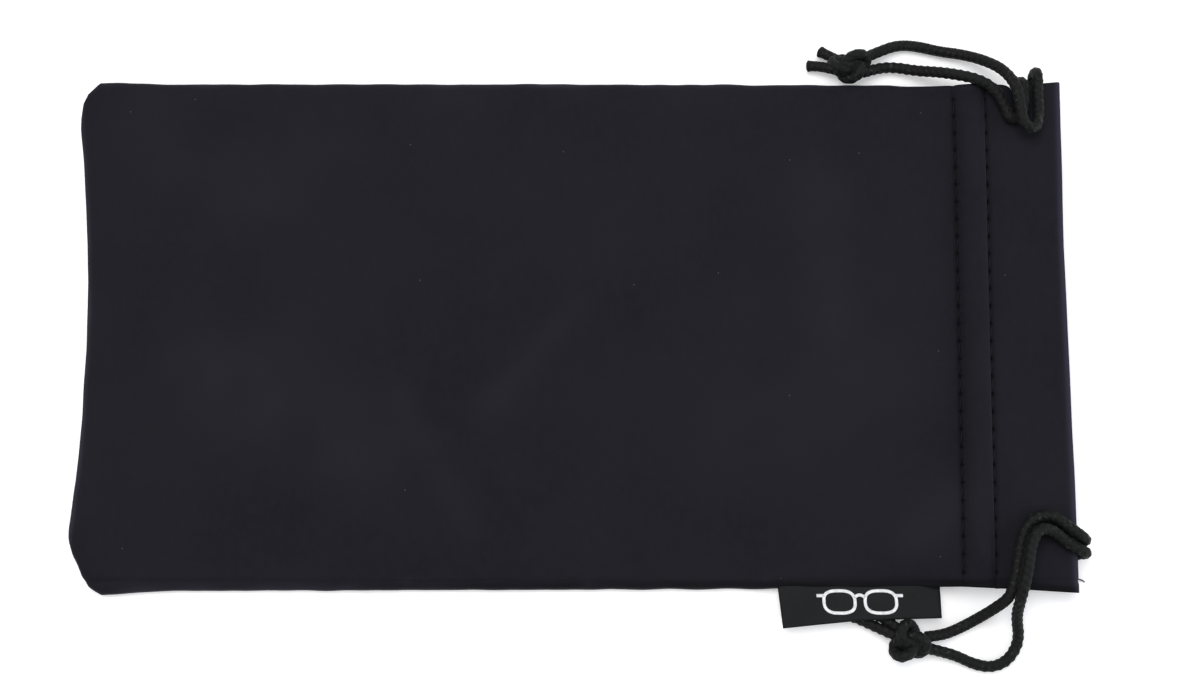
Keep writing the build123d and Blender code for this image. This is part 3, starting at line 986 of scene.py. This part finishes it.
def make_cloths(material):
    """Front and back cloth and the seam allowances between them."""
    front = cloth_sheet("front_cloth", True, material)
    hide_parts("front_panel", "front_panel_border")
    follow_both_sides(front)
    back = cloth_sheet("back_cloth", False, material)
    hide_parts("back_panel")
    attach(back, "pouch")
    allowances = make_allowances(material)
    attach(allowances, "pouch")


def seam_margin(along, seam, width, across_end):
    """A turned-in margin: four slightly rippled lines, from the seam to its cut edge."""
    rows = []
    for share in (0.0, 0.35, 0.7, 1.0):
        inward = np.full_like(along, seam + width * share)
        z = 1.0 + 0.12 * np.sin(along * 0.9 + share * 2) * share - 0.1 * share
        plane = (inward, along) if across_end else (along, inward)
        rows.append(np.stack([*plane, z], -1))
    return np.concatenate(rows), grid_faces(len(rows), len(along))


def make_allowances(material):
    """The cloth's margins, turned to the inside along the sides and the closed end."""
    along_side = np.arange(-79.0, 61.0, 1.5)
    along_end = np.arange(-36.0, 36.1, 1.5)
    parts = [seam_margin(along_side, side * 43.2, side * -6.6, across_end=False) for side in (-1, 1)]
    parts.append(seam_margin(along_end, -83.6, 7.0, across_end=True))
    allowances = joined("seam_allowances", parts, material)
    solid_sheet(allowances, 0.5)
    return allowances


# ---------------------------------------------------------------- stitches and tunnel cords


def thread_tube(points, radius, segments=7):
    """A short round thread along a few points."""
    line = np.array(points, float)
    sides, ups = line_frames(line)
    angles = np.arange(segments) * 2 * math.pi / segments
    across = np.cos(angles)[None, :, None] * sides[:, None, :]
    upward = np.sin(angles)[None, :, None] * ups[:, None, :]
    rings = line[:, None, :] + radius * (across + upward)
    faces = grid_faces(len(line), segments, closed=True)
    last = (len(line) - 1) * segments
    faces.append(tuple(range(segments))[::-1])
    faces.append(tuple(range(last, last + segments)))
    return list(rings.reshape(-1, 3)), faces


def one_stitch(x, y, surface):
    """A stitch over the cloth that dives into its two needle holes."""
    half = STITCH_PITCH / 2
    points = []
    for share in np.linspace(-1, 1, 9):
        above = 0.16 - 0.62 * abs(share) ** 3.2
        place_y = y + share * half * 0.9
        lean = 0.12 * share
        points.append((x + lean, place_y, surface(x, place_y) + above))
    return thread_tube(points, 0.19)


def front_surface(x, y):
    """Outer face of the front cloth at one place near the rows."""
    edge = SIDE_Y - abs(y)
    end = x - END_X
    place = [np.array([[value]], float) for value in (x, y, edge, end)]
    return float(front_height(*place)[0, 0]) + CLOTH / 2


def back_hem_surface(_x, _y):
    """Inner face of the back cloth's hem at the rows, which is level all along them."""
    return BACK_HEIGHT + FACING_DROP + CLOTH / 2 - 0.1


def stitch_rows(name, y_reach, surface, material):
    """Both of a hem's stitch rows as one piece."""
    each_side = int(y_reach / STITCH_PITCH - 0.5)
    places = [i * STITCH_PITCH for i in range(-each_side, each_side + 1)]
    parts = [one_stitch(row, y, surface) for row in ROWS for y in places]
    return joined(name, parts, material)


def make_stitches(material, loose_material):
    """The hems' stitches, and the loose thread end at the mouth."""
    front = stitch_rows("front_hem_thread", SIDE_Y - 0.5, front_surface, material)
    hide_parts("front_hem_stitches", "front_hem_stitches_upper", "front_hem_stitches_lower")
    follow_both_sides(front)
    back = stitch_rows("back_hem_thread", 34.0, back_hem_surface, material)
    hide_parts("back_hem_stitches")
    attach(back, "pouch")
    curl = [
        (87.6, -43.1, 0.9),
        (88.6, -43.2, 0.85),
        (89.2, -43.1, 0.6),
        (89.9, -43.3, 0.4),
        (90.3, -43.6, 0.3),
    ]
    loose = joined("loose_thread", [thread_tube(curl, 0.15)], loose_material)
    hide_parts("loose_thread_end")
    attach(loose, "pouch")


def make_tunnel_cords(material):
    """The cords' hidden runs: through the front tunnel, round the far slit and back through the other."""
    front_parts, back_parts = [], []
    for x, side in TUNNEL_RUNS:
        run = np.array([(x, y, FRONT_RUN_Z) for y in np.linspace(-side * 38.3, side * 30.8, 50)])
        front_parts.append(braided_tube(run, TUNNEL_CORD_RADIUS, segments=14))
        turn = [
            (x, side * 30.6, FRONT_RUN_Z),
            (x, side * 35.2, FRONT_RUN_Z),
            (x, side * 37.6, FRONT_RUN_Z - 0.4),
            (x, side * 37.8, BACK_RUN_Z + 0.5),
            (x, side * 35.0, BACK_RUN_Z),
            (x, side * 20.0, BACK_RUN_Z),
            (x, -side * 20.0, BACK_RUN_Z),
            (x, -side * 38.3, BACK_RUN_Z),
        ]
        back_parts.append(braided_tube(spline_points(turn), TUNNEL_CORD_RADIUS, segments=14))
    runs = joined("front_tunnel_cords", front_parts, material)
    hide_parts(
        "upper_cord_front_run",
        "lower_cord_front_run",
        "upper_cord_front_end",
        "lower_cord_front_end",
    )
    follow_both_sides(runs)
    returns = joined("back_tunnel_cords", back_parts, material)
    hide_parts("upper_cord_return", "lower_cord_return")
    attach(returns, "pouch")


# ---------------------------------------------------------------- label


def label_depth(share):
    """How far the label reaches out, from its closed-end side to its mouth side."""
    return np.interp(share, [0.0, 0.5, 1.0], [8.15, 6.8, 6.4])


def label_point(share, out):
    """A place on the label's upper layer: share along the seam, out from it in millimetres."""
    x = LABEL_X[0] + (LABEL_X[1] - LABEL_X[0]) * share
    curl = 0.5 * smooth((0.22 - share) / 0.22) * (out / 8) ** 2
    wave = 0.16 * math.sin(share * 7.5 + 0.6) * min(out / 5, 1)
    z = LABEL_Z + LABEL_TILT * out + curl + wave
    lean = LABEL_LEAN * out * (1 - share)
    return np.array([x + lean, LABEL_Y - out * 0.985, z])


def make_label(material, print_material):
    """Folded satin tape sewn into the seam, with a spectacles sign printed on it."""
    shares = np.linspace(0, 1, 58)
    rows = []
    for step in np.linspace(0, 1, 16):
        rows.append([label_point(s, label_depth(s) * step) for s in shares])
    for angle in np.radians([60, 120]):
        edge = [label_point(s, label_depth(s) + 0.16 * math.sin(angle)) for s in shares]
        rows.append([p - (0, 0, LABEL_LAYER * (1 - math.cos(angle))) for p in edge])
    for step in np.linspace(1, 0, 16):
        layer = [label_point(s, label_depth(s) * step) for s in shares]
        rows.append([p - (0, 0, 2 * LABEL_LAYER) for p in layer])
    vertices = np.array(rows).reshape(-1, 3)
    faces = [face[::-1] for face in grid_faces(len(rows), len(shares))]
    label = new_object("folded_label", vertices, faces, material)
    solid_sheet(label, 0.14)
    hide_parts("woven_label")
    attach(label, "label")
    emblem = make_emblem(print_material)


def ribbon(points, width, closed):
    """A flat band along a line on the label, in the label's own flat coordinates."""
    line = np.array(points, float)
    if closed:
        tangents = np.roll(line, -1, 0) - np.roll(line, 1, 0)
    else:
        tangents = np.gradient(line, axis=0)
    tangents /= np.linalg.norm(tangents, axis=1)[:, None]
    normals = np.stack([-tangents[:, 1], tangents[:, 0]], 1)
    offsets = (-width / 2, 0.0, width / 2)
    rows = [line + normals * offset for offset in offsets]
    faces = grid_faces(3, len(line), closed=closed)
    return np.concatenate(rows), faces


def make_emblem(material):
    """A generic pair of spectacles: two rounded lens rims, a bridge and two hinge stubs."""
    middle_x, middle_out = EMBLEM_MIDDLE
    t = np.linspace(0, 2 * math.pi, 72, endpoint=False)
    squareness = 0.72
    lens_x = 2.75 * np.sign(np.cos(t)) * np.abs(np.cos(t)) ** squareness
    lens_y = 1.95 * np.sign(np.sin(t)) * np.abs(np.sin(t)) ** squareness
    bands = []
    for side in (-1, 1):
        rim = np.stack([middle_x + side * 3.65 + lens_x, middle_out - lens_y], 1)
        bands.append(ribbon(rim, EMBLEM_LINE, closed=True))
        stub_x = middle_x + side * np.linspace(6.3, 7.6, 6)
        stub = np.stack([stub_x, np.full(6, middle_out - 1.1)], 1)
        bands.append(ribbon(stub, EMBLEM_LINE, closed=False))
    arch = np.linspace(-1, 1, 12)
    bridge = np.stack([middle_x + arch * 0.95, middle_out - 0.75 - 0.45 * (1 - arch**2)], 1)
    bands.append(ribbon(bridge, EMBLEM_LINE, closed=False))
    length = LABEL_X[1] - LABEL_X[0]
    parts = []
    for flat, faces in bands:
        lifted = [label_point(x / length, out) + (0, 0, 0.11) for x, out in flat]
        parts.append((lifted, faces))
    emblem = joined("spectacles_sign", parts, material)
    solid_sheet(emblem, 0.06)
    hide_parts("label_emblem")
    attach(emblem, "label")
    return emblem


# ---------------------------------------------------------------- assembly


def dress_seam_threads(frame, thread):
    """Gives the CAD's seam threads, which stay inside the pouch, their finished material."""
    for node in ("side_seam_thread_upper", "side_seam_thread_lower", "end_seam_thread"):
        for slot in frame["nodes"][node].material_slots:
            slot.material = thread


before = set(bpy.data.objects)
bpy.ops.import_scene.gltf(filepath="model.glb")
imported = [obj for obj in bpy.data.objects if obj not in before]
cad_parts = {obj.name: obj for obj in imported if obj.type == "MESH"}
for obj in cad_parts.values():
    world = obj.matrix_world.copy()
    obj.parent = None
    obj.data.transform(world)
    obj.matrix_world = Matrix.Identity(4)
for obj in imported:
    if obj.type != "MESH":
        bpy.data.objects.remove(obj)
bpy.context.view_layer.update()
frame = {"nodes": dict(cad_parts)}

make_camera()
make_lights()
make_floor()

cord_material = cord_fibre()
thread_material = sewing_thread()
make_drawcords(cord_material)
make_cloths(microfibre())
make_tunnel_cords(cord_material)
make_stitches(thread_material, pale_thread())
make_label(label_tape(), emblem_print())
dress_seam_threads(frame, thread_material)
